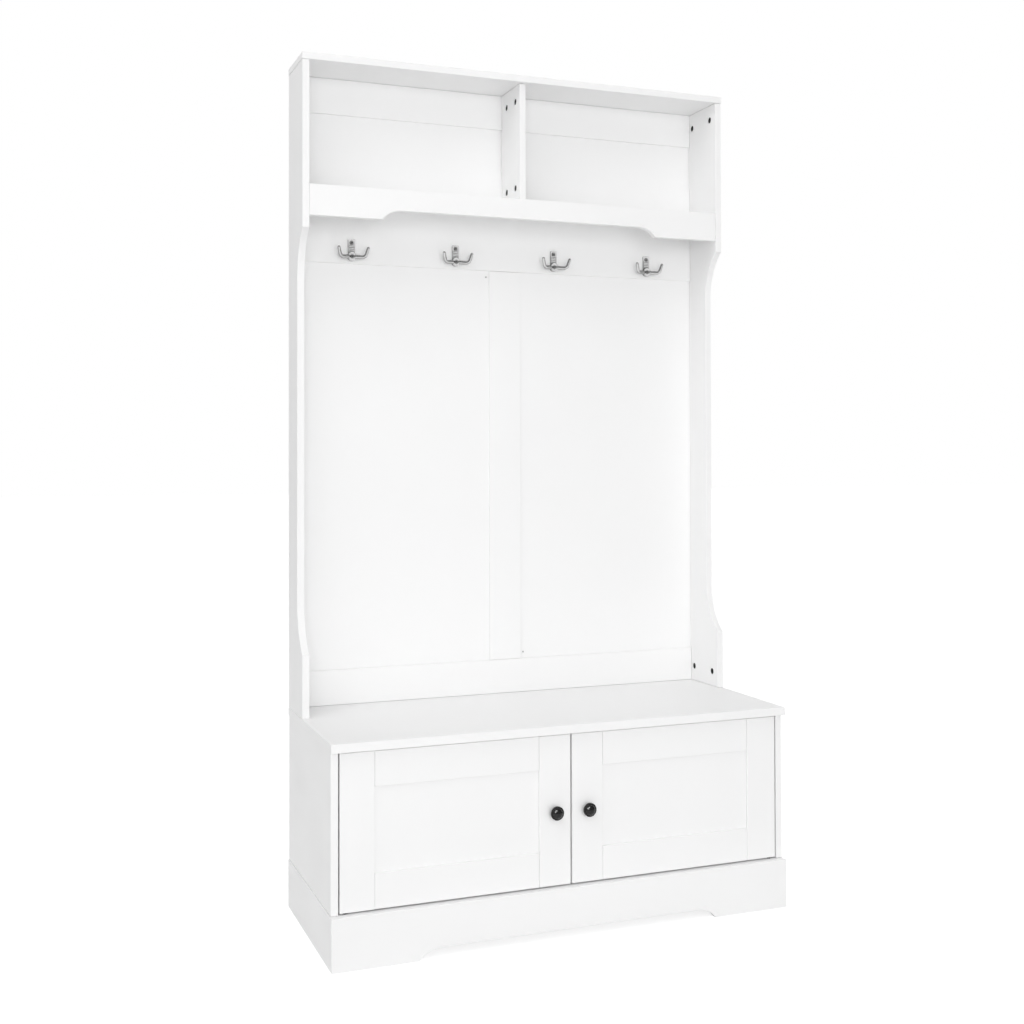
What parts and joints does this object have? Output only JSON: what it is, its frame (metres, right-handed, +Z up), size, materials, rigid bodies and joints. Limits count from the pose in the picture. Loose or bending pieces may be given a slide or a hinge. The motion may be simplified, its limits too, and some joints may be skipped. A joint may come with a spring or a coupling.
{
  "type": "hall tree",
  "caption": "Free-standing hall tree: a panelled back with double coat hooks and open cubbies above a bench cabinet with framed doors on a plinth.",
  "frame": {"origin": "on the floor, under the middle of the bounding box, knobs included", "axes": "+Z up; the doors and hooks face -Y; +X to the right of someone facing the doors"},
  "size_m": [1, 0.409, 1.82],
  "materials": {
    "white_board": "satin white laminated board",
    "white_sheet": "satin white painted sheet",
    "hook_metal": "bright plated",
    "bright_steel": "plated",
    "black_knob": "black satin",
    "steel": "zinc plated",
    "dark_zinc": "dark die-cast zinc",
    "nylon": "natural nylon",
    "catch_plastic": "white moulded"
  },
  "bodies": {
    "carcass": {"back_bottom_rail": "white_board", "back_panel_cubby": "white_sheet", "back_panel_left": "white_sheet", "back_panel_right": "white_sheet", "back_stile": "white_board", "back_top_rail": "white_board", "bench_top": "white_board", "cabinet_back": "white_sheet", "cabinet_floor": "white_board", "cabinet_partition": "white_board", "cabinet_shelf_left": "white_board", "cabinet_shelf_right": "white_board", "cabinet_side_left": "white_board", "cabinet_side_right": "white_board", "cam_bolts": "steel", "cam_locks": "dark_zinc", "cubby_divider": "white_board", "cubby_shelf": "white_board", "hook_1": "hook_metal", "hook_2": "hook_metal", "hook_3": "hook_metal", "hook_4": "hook_metal", "hook_rail": "white_board", "hook_screws": "bright_steel", "magnetic_catches": "catch_plastic", "panel_pins": "steel", "pivot_bushes": "nylon", "plinth_back": "white_board", "plinth_front": "white_board", "plinth_side_left": "white_board", "plinth_side_right": "white_board", "shelf_pins": "steel", "top_board": "white_board", "upright_left": "white_board", "upright_right": "white_board", "valance": "white_board"},
    "door_left": {"door_left_inner_stile": "white_board", "door_left_outer_stile": "white_board", "door_left_bottom_rail": "white_board", "door_left_top_rail": "white_board", "door_left_panel": "white_sheet", "door_left_knob": "black_knob", "door_left_knob_screw": "steel", "door_left_pivot_pins": "steel", "door_left_strike": "steel"},
    "door_right": {"door_right_inner_stile": "white_board", "door_right_outer_stile": "white_board", "door_right_bottom_rail": "white_board", "door_right_top_rail": "white_board", "door_right_panel": "white_sheet", "door_right_knob": "black_knob", "door_right_knob_screw": "steel", "door_right_pivot_pins": "steel", "door_right_strike": "steel"}
  },
  "joints": [
    {"name": "door_left_pivot", "type": "hinge", "parent": "carcass", "child": "door_left", "pos_m": [-0.4685, -0.175, 0.106], "axis": [0, 0, -1], "range_deg": [0, 105]},
    {"name": "door_right_pivot", "type": "hinge", "parent": "carcass", "child": "door_right", "pos_m": [0.4685, -0.175, 0.106], "axis": [0, 0, 1], "range_deg": [0, 105]}
  ]
}
